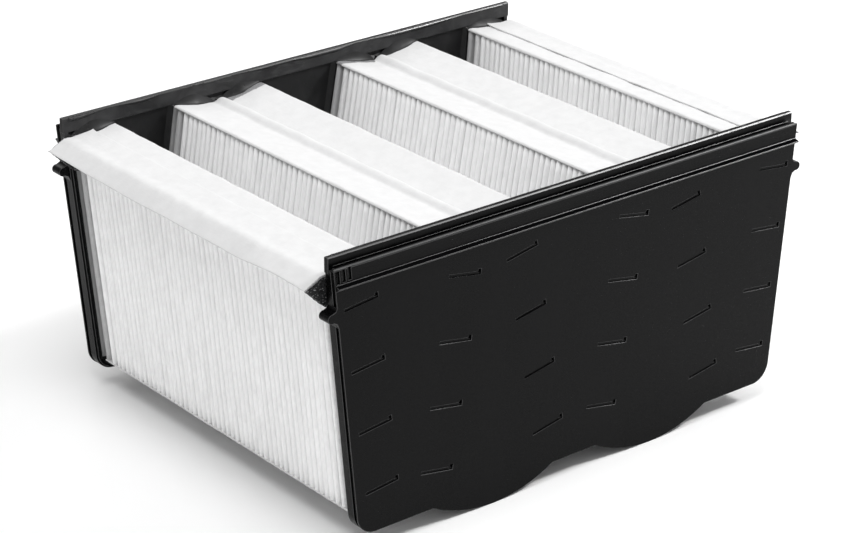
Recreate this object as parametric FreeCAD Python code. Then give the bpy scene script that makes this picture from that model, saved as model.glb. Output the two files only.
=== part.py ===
import FreeCAD, Part
import math
import os
from collections import namedtuple
from FreeCAD import Vector

# Air purifier filter: six pleated packs stand in a zigzag between two moulded end plates.
# Millimetres. X runs across the packs, Y from the near end plate to the far one, Z is up.
# The origin lies under the middle of the filter, at the level of the lobes it stands on.

# End plates: a moulded tray each, open towards the packs
case_length = 260.6          # over the outer faces of both plates
foot_half_width = 149.8      # half the width of the outer face at the straight foot
side_lean = 5.2              # degrees that each side edge leans out
face_height = 157.0          # straight foot to the top of the outer face
corner_radius = 12.0         # lower corners of the outer face
plate_wall = 2.8
edge_step = 1.2              # the outer wall stands this far past the tray's flange
flange_wall = 1.8
flange_depth = 10.0          # outer face to the flange's free edge
face_edge_round = 1.6        # upper edge of the outer face
edge_thickness = 0.9         # the outer face's own edge, in front of the groove round the plate
edge_groove = 2.5            # width of that groove
flange_band = 5.4            # raised band round the flange, behind the groove
flange_band_inset = 0.2

# Lobes under each plate, on which the filter stands
lobe_x = 57.8
lobe_width = 84.4
lobe_drop = 11.0

# Upper edge of each plate: a shelf forms a gutter, and a rim wall stands behind it
gutter_depth = 2.0
rim_set_back = 4.7           # outer face to the rim wall
rim_wall = 3.4
rim_rise = 5.05              # rim wall above the outer face
rim_edge_chamfer = 0.6
flange_open_drop = 9.0       # the flange ends this far below the shelf behind the rim wall

# Lip across the outer face, just under its upper band
lip_foot_drop = 12.6         # top of the outer face to the lip's lower root
lip_root = 3.4
lip_tip = 0.6
lip_reach = 3.0
lip_fall = 0.9               # the lip's upper side falls this far towards its tip

# Recess with ribs in the upper band, at the left end of the outer face
recess_width = 9.2
recess_depth = 1.0
recess_inset = 1.4           # side edge to the recess
recess_margin = 0.6          # lip to the recess
recess_ribs = 2
recess_rib = 1.7

# Ears on the side edges
ear_height = 5.2
ear_centre = 130.6           # above the straight foot
ear_reach = 6.3              # past the side edge
ear_hollow = 2.9             # the hollows above and below an ear reach this far from the side edge
ear_hollow_rise = 2.2        # height of the upper one
ear_hollow_fall = 4.2        # height of the lower one
ear_depth = 8.0

# Grooves in the outer face: one column behind each pack
groove_rows = 4
groove_row_pitch = 36.3
groove_length = 21.6
groove_width = 1.7
groove_depth = 0.8
outer_groove_lean = 6.6
groove_foot = {"outer": 25.2, "inner": 22.0, "centre": 24.1}
groove_shift = {"outer": 0.8, "inner": 0.0, "centre": 1.0}
vent_length = 1.9            # small well at the right end of each groove
vent_width = 2.3
vent_depth = 1.6
vent_rise = 1.1

# Pleated packs
pack_depth = 28.0            # pleat tip to pleat tip
pack_headroom = 3.2          # shelf underside to the middle of a pack's top
pack_foot = 9.6              # straight foot to the middle of an outer pack's bottom
pleat_pitch = 4.7
sheet = 0.9                  # filter paper
side_gap = 1.7               # outer pack to the flange, at the top
tip_gap = 5.0                # between two packs where they meet at the bottom
ridge_gap = 6.0              # between two packs where they meet at the top
ridge_x = 58.9               # middle of the ridge over an inner and a centre pack

# Potting: the bed of cast resin in which the pack ends sit
glue_under_pack = 1.5
bed_depth = 3.5
collar_width = 3.0           # resin that climbs round each pack
collar_rise = 2.2
pocket_gap = 0.1

# Fleece strips over the open pleat edges
fleece = 1.0
strip_end_gap = 0.8          # strip's end to the rim wall, or to the flange under the packs
hump_width = 10.0            # rolled hump over the gap of a ridge
hump_rise = 2.6
skirt_overlap = 13.5         # the skirt lies this far onto the edge band
skirt_bend_x = 5.4           # edge band to the bend of the skirt
skirt_bend_rise = 0.5
skirt_reach = 16.3           # edge band to the free edge of the skirt
skirt_drop = 5.9             # the free edge below the bend

# Foam corner pads that close the ends of each skirt
pad_length = 5.0
pad_height = 18.0
pad_toe = 4.5
pad_tip_inset = 0.4

# Levels and places that follow
foot_z = lobe_drop
lean = math.radians(side_lean)
near_face_y = -case_length / 2
shelf_top = face_height - gutter_depth
shelf_under = shelf_top - flange_wall
tray_inset = edge_step + flange_wall
rim_inner = rim_set_back + rim_wall
pack_top = shelf_under - pack_headroom
pack_height = (pack_top - pack_foot) / math.cos(lean)
pack_end = plate_wall + glue_under_pack
pack_length = case_length - 2 * pack_end
strip_end = rim_inner + strip_end_gap
half_depth = pack_depth / 2

Pack = namedtuple("Pack", "kind side top_x lean")


def side_x(height, inset=0.0):
    """Half the plate's width at a height above the straight foot."""
    return foot_half_width + height * math.tan(lean) - inset / math.cos(lean)


def lean_for(span):
    """Lean at which a pack's depth and height together span a horizontal distance."""
    diagonal = math.hypot(pack_depth, pack_height)
    return math.atan2(pack_height, pack_depth) - math.acos(span / diagonal)


def outer_pack(side):
    """Pack that stands along the side flange."""
    top_x = side_x(pack_top, tray_inset) - side_gap - half_depth * math.cos(lean)
    return Pack("outer", side, top_x, lean)


def inner_pack(side):
    """Pack that runs from the foot of the outer pack up to the ridge."""
    neighbour = outer_pack(side)
    tip = corner(neighbour, 0, -1).x * side - tip_gap
    low_side = ridge_x + ridge_gap / 2
    angle = lean_for(tip - low_side)
    return Pack("inner", side, low_side + half_depth * math.cos(angle), -angle)


def centre_pack(side):
    """Pack that runs from the ridge down to the middle of the filter."""
    high_side = ridge_x - ridge_gap / 2
    angle = lean_for(high_side - tip_gap / 2)
    return Pack("centre", side, high_side - half_depth * math.cos(angle), angle)


def up(pack):
    """Direction from a pack's bottom to its top."""
    return Vector(pack.side * math.sin(pack.lean), 0, math.cos(pack.lean))


def across(pack):
    """Direction through a pack, away from the middle of the filter."""
    return Vector(pack.side * math.cos(pack.lean), 0, -math.sin(pack.lean))


def corner(pack, end, face):
    """Corner of a pack's section: end is 1 at the top, face is 1 on the side away from the middle."""
    top = Vector(pack.side * pack.top_x, 0, foot_z + pack_top)
    return top - up(pack) * (pack_height * (1 - end)) + across(pack) * (half_depth * face)


def line(a, b):
    return Part.LineSegment(a, b).toShape()


def arc(a, middle, b):
    return Part.Arc(a, middle, b).toShape()


def profile(points):
    """Closed face through the points."""
    return Part.Face(Part.makePolygon(points + points[:1]))


def along_y(face, start, length):
    """Solid that a face in the XZ plane sweeps along Y."""
    return face.translated(Vector(0, start, 0)).extrude(Vector(0, length, 0))


def lobe_edges(centre_x, inset):
    """Arc of one lobe, with the point where it leaves the foot on each side."""
    radius = (lobe_width ** 2 / 4 + lobe_drop ** 2) / (2 * lobe_drop)
    rise = radius - lobe_drop
    half = math.sqrt((radius - inset) ** 2 - (rise - inset) ** 2)
    left = Vector(centre_x - half, 0, inset)
    right = Vector(centre_x + half, 0, inset)
    low = Vector(centre_x, 0, inset - lobe_drop)
    return left, arc(left, low, right), right


def plate_prism(inset, top, start, end):
    """Slab with the plate's outline, drawn in by an inset, between two depths from the outer face."""
    left_foot = Vector(-side_x(inset, inset), 0, inset)
    right_foot = Vector(side_x(inset, inset), 0, inset)
    left_top = Vector(-side_x(top, inset), 0, top)
    right_top = Vector(side_x(top, inset), 0, top)
    a, first_lobe, b = lobe_edges(-lobe_x, inset)
    c, second_lobe, d = lobe_edges(lobe_x, inset)
    edges = [line(left_foot, a), first_lobe, line(b, c), second_lobe, line(d, right_foot)]
    edges += [line(right_foot, right_top), line(right_top, left_top), line(left_top, left_foot)]
    slab = along_y(Part.Face(Part.Wire(edges)), start, end - start)
    corners = [e for e in slab.Edges if is_lower_corner(e, right_foot)]
    return slab.makeFillet(corner_radius - inset, corners)


def is_lower_corner(edge, foot):
    """True for the edge along Y at either lower corner of the slab."""
    middle = edge.BoundBox.Center
    return abs(abs(middle.x) - foot.x) < 1e-4 and abs(middle.z - foot.z) < 1e-4


def tray_flange():
    """Flange round the tray, lower behind the rim wall so that the strips and skirts pass over it."""
    outside = plate_prism(edge_step, shelf_top, edge_thickness, flange_depth)
    band_start = edge_thickness + edge_groove
    band = plate_prism(flange_band_inset, shelf_top, band_start, band_start + flange_band)
    inside = plate_prism(tray_inset, shelf_under, plate_wall, flange_depth)
    reach = 2 * side_x(shelf_top)
    opening = Part.makeBox(reach, flange_depth, 2 * flange_open_drop)
    opening.translate(Vector(-reach / 2, rim_inner, shelf_top - flange_open_drop))
    return outside.fuse(band).cut(inside).cut(opening)


def outer_wall():
    """Outer wall: its face has a thin edge of its own in front of the groove, and a round upper edge."""
    face = plate_prism(0, face_height, 0, edge_thickness)
    wall = face.fuse(plate_prism(edge_step, face_height, 0, plate_wall))
    r = face_edge_round
    low, high = Vector(0, 0, face_height - r), Vector(0, r, face_height)
    on_arc = Vector(0, r - r * math.cos(math.pi / 4), face_height - r + r * math.sin(math.pi / 4))
    corners = [high, Vector(0, r, face_height + r), Vector(0, -r, face_height + r), Vector(0, -r, low.z), low]
    edges = [line(a, b) for a, b in zip(corners, corners[1:])]
    section = Part.Face(Part.Wire(edges + [arc(low, on_arc, high)]))
    half = side_x(face_height) + r
    return wall.cut(section.translated(Vector(-half, 0, 0)).extrude(Vector(2 * half, 0, 0)))


def rim():
    """Upright wall behind the gutter, as wide as the top of the outer face."""
    half = side_x(face_height)
    height = rim_rise + gutter_depth + flange_wall
    wall = Part.makeBox(2 * half, rim_wall, height)
    wall.translate(Vector(-half, rim_set_back, shelf_under))
    top = [e for e in wall.Edges if e.BoundBox.ZMin > face_height and e.BoundBox.XLength > half]
    return wall.makeChamfer(rim_edge_chamfer, top)


def face_lip():
    """Tapered lip across the outer face."""
    root = face_height - lip_foot_drop
    top = root + lip_root
    section = [Vector(0, 0, root),
               Vector(0, -lip_reach, top - lip_fall - lip_tip),
               Vector(0, -lip_reach, top - lip_fall),
               Vector(0, 0, top),
               Vector(0, edge_thickness / 2, top),
               Vector(0, edge_thickness / 2, root)]
    half = side_x(root)
    face = profile(section).translated(Vector(-half, 0, 0))
    return face.extrude(Vector(2 * half, 0, 0))


def ear(side):
    """Round-ended tab square to one side edge, hollowed out above and below its root."""
    radius = ear_height / 2
    back = tray_inset / 2
    neck = ear_reach - radius
    on_arc = 1 - math.cos(math.pi / 4)
    upper = [Vector(-back, 0, radius + ear_hollow_rise),
             Vector(0, 0, radius + ear_hollow_rise),
             Vector(on_arc * ear_hollow, 0, radius + on_arc * ear_hollow_rise),
             Vector(ear_hollow, 0, radius),
             Vector(neck, 0, radius)]
    lower = [Vector(neck, 0, -radius),
             Vector(ear_hollow, 0, -radius),
             Vector(on_arc * ear_hollow, 0, -radius - on_arc * ear_hollow_fall),
             Vector(0, 0, -radius - ear_hollow_fall),
             Vector(-back, 0, -radius - ear_hollow_fall)]
    sides = list(zip(upper, upper[1:])) + list(zip(lower, lower[1:])) + [(lower[-1], upper[0])]
    edges = [line(a, b) for a, b in sides] + [arc(upper[-1], Vector(ear_reach, 0, 0), lower[0])]
    outline = Part.Wire(Part.__sortEdges__(edges))
    tab = along_y(Part.Face(outline), 0, ear_depth)
    tab.rotate(Vector(0, 0, 0), Vector(0, 1, 0), side_lean)
    tab.translate(Vector(side_x(ear_centre), 0, ear_centre))
    if side < 0:
        tab = tab.mirror(Vector(0, 0, 0), Vector(1, 0, 0))
    return tab


def end_recess():
    """Tool for the recess at the left end of the upper band; its ribs stay up to the outer face."""
    low = face_height - lip_foot_drop + lip_root + recess_margin
    high = face_height - face_edge_round
    gap = (recess_width - recess_ribs * recess_rib) / (recess_ribs + 1)
    tools = []
    for k in range(recess_ribs + 1):
        slot = Part.makeBox(gap, 2 * recess_depth, high - low)
        slot.translate(Vector(k * (gap + recess_rib), -recess_depth, 0))
        slot.rotate(Vector(0, 0, 0), Vector(0, 1, 0), -side_lean)
        slot.translate(Vector(-side_x(low) + recess_inset, 0, low))
        tools.append(slot)
    return tools


def groove(length, width, depth, shift, rise):
    """Box cut into the outer face, before it is turned and placed."""
    box = Part.makeBox(length, 2 * depth, width)
    box.translate(Vector(shift - length / 2, -depth, rise - width / 2))
    return box


def groove_columns(packs):
    """Every groove with its well, square to the line of its column."""
    tools = []
    for pack in packs:
        angle = math.radians(outer_groove_lean) if pack.kind == "outer" else pack.lean
        foot = groove_foot[pack.kind]
        foot_x = pack.top_x - (pack_top - foot) * math.tan(pack.lean) + groove_shift[pack.kind]
        for row in range(groove_rows):
            height = foot + row * groove_row_pitch
            x = pack.side * (foot_x + row * groove_row_pitch * math.tan(angle))
            slot = groove(groove_length, groove_width, groove_depth, 0, 0)
            well_x = (groove_length - vent_length) / 2
            well = groove(vent_length, vent_width, vent_depth, well_x, vent_rise)
            tool = slot.fuse(well)
            turn = pack.side * math.degrees(angle)
            tool.rotate(Vector(0, 0, 0), Vector(0, 1, 0), turn)
            tool.translate(Vector(x, 0, height))
            tools.append(tool)
    return tools


def near_plate(packs):
    """Near end plate as one moulding, with its outer face towards -Y."""
    room = plate_prism(tray_inset, shelf_under, plate_wall, flange_depth)
    ears = [ear(side).cut(room) for side in (-1, 1)]
    plate = outer_wall().fuse([tray_flange(), rim(), face_lip()] + ears)
    plate = plate.cut(groove_columns(packs) + end_recess()).removeSplitter()
    return plate.translated(Vector(0, near_face_y, foot_z))


def end_block(pack, grow, start, end):
    """Block round the end of a pack, between two depths from the plate's outer face."""
    side_grow = across(pack) * grow
    end_grow = up(pack) * grow
    points = [corner(pack, 0, -1) - side_grow - end_grow,
              corner(pack, 0, 1) + side_grow - end_grow,
              corner(pack, 1, 1) + side_grow + end_grow,
              corner(pack, 1, -1) - side_grow + end_grow]
    return along_y(profile(points), near_face_y + start, end - start)


def collar(pack):
    """Resin that climbs round a pack's end, wide at the bed and narrow at its top."""
    wires = []
    bed_top = plate_wall + bed_depth
    for grow, depth in ((collar_width, bed_top), (pocket_gap * 5, bed_top + collar_rise)):
        block = end_block(pack, grow, depth, depth + 1)
        wires.append(min(block.Faces, key=lambda f: f.CenterOfMass.y).OuterWire)
    return Part.makeLoft(wires, True, True)


def near_bed(packs):
    """Cast resin in the near tray, with a pocket for each pack."""
    place = Vector(0, near_face_y, foot_z)
    bed_top = plate_wall + bed_depth
    bed = plate_prism(tray_inset, shelf_under, plate_wall, bed_top).translated(place)
    room = plate_prism(tray_inset, shelf_under, plate_wall, flange_depth).translated(place)
    bed = bed.fuse([collar(p) for p in packs]).common(room)
    pockets = [end_block(p, pocket_gap, pack_end, flange_depth * 2) for p in packs]
    return bed.cut(pockets).removeSplitter()


def pleat_outline():
    """Both sides of the folded sheet, as points (across, along) from one end leaf to the other."""
    count = 2 * max(1, round(pack_length / pleat_pitch))
    step = (pack_length - sheet) / count
    slope = step / pack_depth
    folds = [sheet / 2 + k * step for k in range(count + 1)]
    slopes = [0.0] + [slope] * count + [0.0]
    halves = [sheet / 2 * math.hypot(1, s) for s in slopes]
    chains = {1: [(-half_depth, 0)], -1: [(-half_depth, sheet)]}
    for k, y in enumerate(folds):
        face = 1 if k % 2 == 0 else -1
        before, after = halves[k], halves[k + 1]
        inward = (before + after) / (slopes[k] + slopes[k + 1])
        chains[face] += [(face * half_depth, y - before), (face * half_depth, y + after)]
        chains[-face].append((face * (half_depth - inward), y - inward * slopes[k] + before))
    chains[1].append((-half_depth, pack_length))
    chains[-1].append((-half_depth, pack_length - sheet))
    return chains[1], chains[-1]


def pleated_pack(pack):
    """One sheet of filter paper folded into a pack, its folds running up the pack."""
    left, right = pleat_outline()
    foot = corner(pack, 0, 0)
    start = Vector(foot.x, near_face_y + pack_end, foot.z)
    n = across(pack)
    points = [start + n * a + Vector(0, y, 0) for a, y in left + right[::-1]]
    return profile(points).extrude(up(pack) * pack_height)


def strip(lower, upper, end=strip_end):
    """Fleece strip from the points of its two surfaces; end is its distance from each outer face."""
    return along_y(profile(lower + upper[::-1]), near_face_y + end, case_length - 2 * end)


def ridge_strip(inner, centre):
    """Strip over an inner and a centre pack, with a hump where it bridges the gap between them."""
    a, b = corner(inner, 1, 1), corner(inner, 1, -1)
    c, d = corner(centre, 1, 1), corner(centre, 1, -1)
    middle = (b + c) * 0.5 + Vector(0, 0, hump_rise)
    onto_pack = (hump_width - ridge_gap) / 2
    b = b + across(inner) * onto_pack
    c = c - across(centre) * onto_pack
    lift_inner = up(inner) * fleece
    lift_centre = up(centre) * fleece
    upper_middle = middle + Vector(0, 0, fleece)
    edges = [line(a, b), arc(b, middle, c), line(c, d), line(d, d + lift_centre),
             line(d + lift_centre, c + lift_centre),
             arc(c + lift_centre, upper_middle, b + lift_inner),
             line(b + lift_inner, a + lift_inner), line(a + lift_inner, a)]
    return along_y(Part.Face(Part.Wire(edges)), near_face_y + strip_end, case_length - 2 * strip_end)


def tip_strip(left, right):
    """Strip under two packs that meet at the bottom; left has the smaller x."""
    corners = []
    for pack in (left, right):
        ends = sorted((corner(pack, 0, -1), corner(pack, 0, 1)), key=lambda p: p.x)
        corners += [(p, p - up(pack) * fleece) for p in ends]
    upper = [c[0] for c in corners]
    lower = [c[1] for c in corners]
    return strip(lower, upper, flange_depth + strip_end_gap)


def edge_band(pack):
    """Strip over the top of an outer pack."""
    lower = [corner(pack, 1, -1), corner(pack, 1, 1)]
    return strip(lower, [p + up(pack) * fleece for p in lower])


def skirt_path(pack):
    """Underside of the skirt: over the edge band, out to a bend and down to the free edge."""
    edge = corner(pack, 1, 1) + up(pack) * fleece
    start = edge - across(pack) * skirt_overlap
    bend = edge + Vector(pack.side * skirt_bend_x, 0, skirt_bend_rise)
    free = Vector(edge.x + pack.side * skirt_reach, 0, bend.z - skirt_drop)
    return start, edge, bend, free


def skirt(pack):
    """Sealing skirt that hangs past the side of the filter."""
    start, edge, bend, free = skirt_path(pack)
    fall = (free - bend).normalize()
    off_fall = Vector(-pack.side * fall.z, 0, abs(fall.x)) * fleece
    lower = [start, edge, bend, free]
    upper = [start + up(pack) * fleece,
             edge + Vector(0, 0, fleece),
             bend + Vector(0, 0, fleece),
             free + off_fall]
    return strip(lower, upper)


def corner_pad(pack, end):
    """Foam wedge between the skirt's end, the pack and the plate's flange; end is -1 at the near plate."""
    start, edge, bend, free = skirt_path(pack)
    top = corner(pack, 1, 1)
    foot = top - up(pack) * pad_height
    toe = foot + Vector(pack.side * pad_toe, 0, pad_toe / 3)
    tip = free + (bend - free).normalize() * pad_tip_inset
    points = [foot, toe, tip, bend, edge, top]
    near = along_y(profile(points), near_face_y + flange_depth, pad_length)
    if end < 0:
        return near
    return near.mirror(Vector(0, 0, 0), Vector(0, 1, 0))


def turned(shape):
    """The same piece at the far end: half a turn about the vertical axis."""
    return shape.rotated(Vector(0, 0, 0), Vector(0, 0, 1), 180)


def build():
    """Every piece of the filter by name."""
    packs = {}
    for side, hand in ((-1, "left"), (1, "right")):
        packs[hand, "outer"] = outer_pack(side)
        packs[hand, "inner"] = inner_pack(side)
        packs[hand, "centre"] = centre_pack(side)
    pieces = {}
    plate = near_plate(packs.values())
    bed = near_bed(list(packs.values()))
    pieces["near_end_plate"] = plate
    pieces["far_end_plate"] = turned(plate)
    pieces["near_potting_bed"] = bed
    pieces["far_potting_bed"] = turned(bed)
    for (hand, kind), pack in packs.items():
        pieces[f"{hand}_{kind}_pleat_pack"] = pleated_pack(pack)
    for hand in ("left", "right"):
        outer = packs[hand, "outer"]
        pieces[f"{hand}_ridge_strip"] = ridge_strip(packs[hand, "inner"], packs[hand, "centre"])
        pieces[f"{hand}_edge_band"] = edge_band(outer)
        pieces[f"{hand}_sealing_skirt"] = skirt(outer)
        pieces[f"near_{hand}_corner_pad"] = corner_pad(outer, -1)
        pieces[f"far_{hand}_corner_pad"] = corner_pad(outer, 1)
    pieces["left_tip_strip"] = tip_strip(packs["left", "outer"], packs["left", "inner"])
    pieces["centre_tip_strip"] = tip_strip(packs["left", "centre"], packs["right", "centre"])
    pieces["right_tip_strip"] = tip_strip(packs["right", "inner"], packs["right", "outer"])
    return pieces


os.makedirs("parts", exist_ok=True)
for name, shape in build().items():
    shape.exportStep(f"parts/{name}.step")
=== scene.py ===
import math
import zlib

import bmesh
import bpy
import numpy as np
from bpy.props import FloatProperty, FloatVectorProperty, IntProperty, PointerProperty
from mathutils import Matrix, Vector


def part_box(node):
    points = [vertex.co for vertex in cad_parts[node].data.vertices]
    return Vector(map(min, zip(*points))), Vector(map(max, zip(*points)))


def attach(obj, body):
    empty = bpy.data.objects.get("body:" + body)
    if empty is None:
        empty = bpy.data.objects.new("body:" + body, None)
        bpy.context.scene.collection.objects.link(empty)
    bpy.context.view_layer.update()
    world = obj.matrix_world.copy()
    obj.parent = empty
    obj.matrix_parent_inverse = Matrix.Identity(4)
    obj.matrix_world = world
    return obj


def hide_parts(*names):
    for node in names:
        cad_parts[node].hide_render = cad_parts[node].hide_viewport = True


bl_info = {
    "name": "Air purifier filter",
    "version": (1, 0, 0),
    "blender": (4, 5, 0),
    "location": "3D View > Sidebar > Filter",
    "description": "Dresses the packed air purifier filter: plates, resin, pleated paper, fleece and foam",
    "category": "Object",
}

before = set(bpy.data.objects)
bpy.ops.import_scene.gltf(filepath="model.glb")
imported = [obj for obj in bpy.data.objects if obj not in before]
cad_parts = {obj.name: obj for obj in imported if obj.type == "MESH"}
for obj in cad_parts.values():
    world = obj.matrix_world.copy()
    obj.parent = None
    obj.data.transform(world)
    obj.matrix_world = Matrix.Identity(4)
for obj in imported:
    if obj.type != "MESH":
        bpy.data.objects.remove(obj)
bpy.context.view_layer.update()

# Metres throughout. X runs across the packs, Y from the near end plate to the far one, Z is up.
MM = 0.001
SIDES = ("left", "right")
ENDS = {"near": -1, "far": 1}  # each end and its sign along Y
STRIP_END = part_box("left_edge_band")[1].y
TURN_OUT = 0.35 * MM  # a strip's turned-down edge stands this far off the pleats
TURN_DOWN = 0.5 * MM  # and reaches this far down them
FIBRES = 26  # loose fibres at a strip's cuts
FIBRE_LENGTH = 2.4 * MM
FIBRE_RADIUS = 0.06 * MM
WIDE_LEGS = (1.55, 1.5, 1.45, 1.35, 1.25, 1.1)  # how much wider the first legs at a pack's ends stand

# Sections of the skirts and pads beside a pack, as outwards and up in millimetres. The bend is counted from the
# pack's outer edge; the free edge and the tip lie as far out from that edge, and as far up from the bend.
SKIRT_BEND, SKIRT_FREE, SKIRT_GLUED = (5.4, 0.5), (16.1, -5.6), 13.5
PAD_TOE, PAD_TIP, PAD_HEIGHT = (4.5, 1.5), (15.6, -5.3), 18

# The end plates: heights, and distances from the filter's middle.
RIM_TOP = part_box("near_end_plate")[1].z
LIP_TIP = -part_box("near_end_plate")[0].y
LIP_INNER = LIP_TIP - 3 * MM
RIM_OUTER = LIP_TIP - 7.7 * MM
RIM_INNER = RIM_OUTER - 3.4 * MM
SATIN_HEIGHT = RIM_TOP - 8 * MM  # round edges above it are satin
LIP_HEIGHT = RIM_TOP - 16 * MM  # the lip's upper side lies above it
LONG_EDGE = 100 * MM  # a longer hollow edge that opens upwards is rounded
BROAD_FACE = 150e-6  # an upper face of more square metres is shaded flat
# The polished and satin materials are lighter partly as painted highlight, the film is lighter as painted light,
# and the copy without reflection is painted shade.
PLAIN, POLISH_AND_HIGHLIGHT, FILM_WITH_PAINTED_LIGHT, SATIN_AND_HIGHLIGHT, SHADED_COPY = range(5)  # a plate's materials
# Fine moulded lines along a plate: distance from the filter's middle, height, radius and half length.
LINES = (
    (RIM_OUTER + 0.02 * MM, RIM_TOP - 5.1 * MM, 0.15 * MM, 161 * MM),
    (LIP_INNER, RIM_TOP - 14.25 * MM, 0.25 * MM, 162.5 * MM),
    (LIP_TIP - 0.32 * MM, RIM_TOP - 15.4 * MM, 0.33 * MM, 162.6 * MM),
)

# The stage.
FLOOR_REACH = 9.0
LIGHT_AIM = Vector((0, 0, 0.12))
SOFT_BOXES = {  # where each stands, its width and depth
    "key": ((1.65, -0.8, 1.6), (0.36, 0.36)),
    "top": ((-0.5, -0.2, 1.6), (1.0, 1.0)),
    "back": ((0.6, 2.2, 1.5), (1.6, 0.9)),
}
CAMERA_PLACE = (-0.92808, -1.15478, 0.73837)
CAMERA_VIEW = Vector((0.57139, 0.71298, -0.40642))
CAMERA_LENS, CAMERA_SENSOR = 119.52, 36  # millimetres


# ------------ what the CAD frame gives

def mesh_points(mesh):
    """Points of a mesh, one row each."""
    points = np.empty(len(mesh.vertices) * 3, np.float32)
    mesh.vertices.foreach_get("co", points)
    return points.reshape(-1, 3).astype(float)


class PackPlace:
    """Where one pack stands: its middle, its two directions in the XZ plane and its sizes."""

    def __init__(self, node):
        """The long main direction of the node's points is up, the one square to it runs through the pack."""
        points = mesh_points(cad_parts[node].data)
        flat = points[:, [0, 2]]
        centred = flat - flat.mean(0)
        directions = np.linalg.eigh(centred.T @ centred)[1]
        self.side = 1 if flat[:, 0].mean() > 0 else -1
        self.up = directions[:, 1] * np.sign(directions[1, 1])
        self.across = np.array([self.up[1], -self.up[0]]) * self.side
        heights, depths = flat @ self.up, flat @ self.across
        self.height, self.depth = np.ptp(heights), np.ptp(depths)
        self.middle = self.up * (heights.min() + heights.max()) / 2
        self.middle = self.middle + self.across * (depths.min() + depths.max()) / 2
        self.low_y, self.high_y = points[:, 1].min(), points[:, 1].max()

    def corner(self, end, face):
        """Corner of the pack's section: end is 1 at the top, face is 1 away from the middle of the filter."""
        return self.middle + self.up * self.height * (end - 0.5) + self.across * self.depth * face / 2


PACKS = {f"{hand}_{kind}": PackPlace(f"{hand}_{kind}_pleat_pack")
         for hand in SIDES for kind in ("outer", "inner", "centre")}


# ------------ sizes and colours to change

def millimetres(name, description, default, low, high):
    """Property for a length, its default and limits given in millimetres."""
    return FloatProperty(name=name, description=description, default=default * MM, min=low * MM, max=high * MM,
                         unit="LENGTH", precision=5)


def tint(name, description, *default):
    """Property for a colour, its default given as red, green and blue."""
    return FloatVectorProperty(name=name, description=description, default=default + (1,), min=0, max=1,
                               subtype="COLOR", size=4)


def watts(name, description, default):
    """Property for the power of a light."""
    return FloatProperty(name=name, description=description, default=default, min=0, max=200, unit="POWER")


class FilterSizes(bpy.types.PropertyGroup):
    """Sizes of the filter's visible detail."""

    pleats: IntProperty(name="Pleats", description="Pleats in each pack", default=52, min=12, max=70)
    paper: millimetres("Paper", "Thickness of the filter paper", 0.75, 0.2, 1.2)
    fold_radius: millimetres("Fold radius", "Radius of a pleat's tip", 1.5, 0.4, 1.6)
    pleat_wander: millimetres("Pleat wander", "How far a pleat strays from its even place", 0.13, 0, 0.8)
    fleece: millimetres("Fleece", "Thickness of the fleece strips", 1.0, 0.3, 1.5)
    fleece_relief: millimetres("Fleece relief", "Height of the fleece's gentle waves", 0.12, 0, 1)
    skirt_sag: millimetres("Skirt sag", "How far the middle of a skirt's free edge hangs down", 1.3, 0, 4)
    hump_width: millimetres("Hump width", "Width of the rolled hump on a ridge strip", 10, 4, 16)
    hump_rise: millimetres("Hump rise", "Height of the rolled hump", 2.6, 0, 5)
    meniscus: millimetres("Resin climb", "How far resin climbs the far rim over a pack's end", 6.2, 0, 8)
    edge_round: millimetres("Moulded edge", "Rounding of the plates' moulded edges", 0.25, 0, 0.3)


class FilterColours(bpy.types.PropertyGroup):
    """Colours of the filter's materials."""

    plastic: tint("Plastic", "Moulded end plates", 0.0024, 0.0024, 0.0026)
    # The edges' colour, five times the plastic's, is partly handling wear and partly painted highlight.
    edge: tint("Plastic edges", "Polished edges of the moulding", 0.012, 0.012, 0.0125)
    # Painted light: the resin film's colour, fifteen times the plastic's, stands for the lit inner wall.
    film_and_painted_light: tint("Resin film", "Thin resin on the rim's inner side", 0.036, 0.036, 0.037)
    resin: tint("Resin", "Cast potting resin", 0.011, 0.011, 0.0115)
    paper: tint("Paper", "Pleated filter paper", 0.94, 0.94, 0.942)
    fleece: tint("Fleece", "White fleece strips", 0.635, 0.635, 0.637)
    # Grey of resin in fleece and paper; on the paper's ends it is also painted shade for the plate walls' shadow.
    soak_and_shade: tint("Soaked fleece", "Fleece and paper where resin has soaked in", 0.2, 0.2, 0.205)
    foam: tint("Foam", "Foam corner pads", 0.012, 0.012, 0.013)
    # Painted highlight: the pale specks stand for glints on the foam's cells.
    foam_glint: tint("Foam specks", "Cut cell walls of the foam", 0.42, 0.42, 0.43)


class FilterStage(bpy.types.PropertyGroup):
    """Floor and light round the filter."""

    floor: tint("Floor", "Colour of the plain floor", 0.97, 0.97, 0.97)
    sky: FloatProperty(name="Soft light", description="Strength of the even light from all round", default=0.48,
                       min=0, max=5)
    top: watts("Top light", "Power of the soft box above the filter", 15)
    key: watts("Key light", "Power of the small soft box high at the near right", 37)
    back: watts("Back light", "Power of the soft box high behind the filter", 10)


def sizes():
    """The sizes as they are set now."""
    return bpy.context.scene.filter_sizes


# ------------ surfaces

def seeded(name):
    """Random numbers that are the same on every run for a piece's name."""
    return np.random.default_rng(zlib.crc32(name.encode()))


def waves(rng, u, v, size, count=9):
    """Gentle relief over u and v: the sum of sine waves of random direction and phase, each about size long,
    scaled so that its usual height is 1."""
    turn, phase = rng.uniform(0, 2 * np.pi, (2, count))
    pace = 2 * np.pi / size * rng.uniform(0.6, 1.7, count)
    u, v = np.asarray(u)[..., None], np.asarray(v)[..., None]
    return np.sin(u * pace * np.cos(turn) + v * pace * np.sin(turn) + phase).sum(-1) / math.sqrt(count / 2)


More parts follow.
